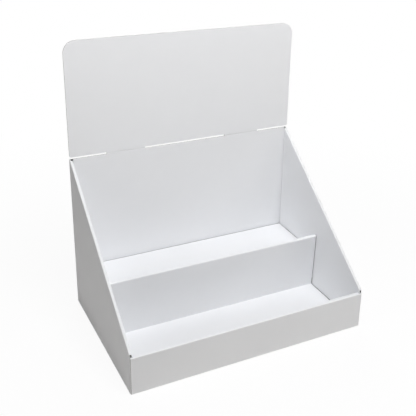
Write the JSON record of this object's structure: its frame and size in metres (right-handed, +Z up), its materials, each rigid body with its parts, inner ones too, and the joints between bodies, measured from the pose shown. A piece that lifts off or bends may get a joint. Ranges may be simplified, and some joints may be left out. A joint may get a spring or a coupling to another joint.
{
  "type": "cardboard display stand",
  "caption": "White fluted-card counter display: sloping double side walls, rolled front lip, stepped insert for a lower and an upper tier, and a tall rounded header on a slotted crease.",
  "frame": {"origin": "centre of the base's underside", "axes": "+Z up, +X to the right as seen from the front, the open front faces -Y"},
  "size_m": [0.3, 0.202, 0.342],
  "materials": {
    "body_board": "white coated fluted card, matt",
    "insert_board": "white coated fluted card, matt"
  },
  "bodies": {
    "root": {"display_body": "body_board", "step_insert": "insert_board"}
  },
  "joints": []
}
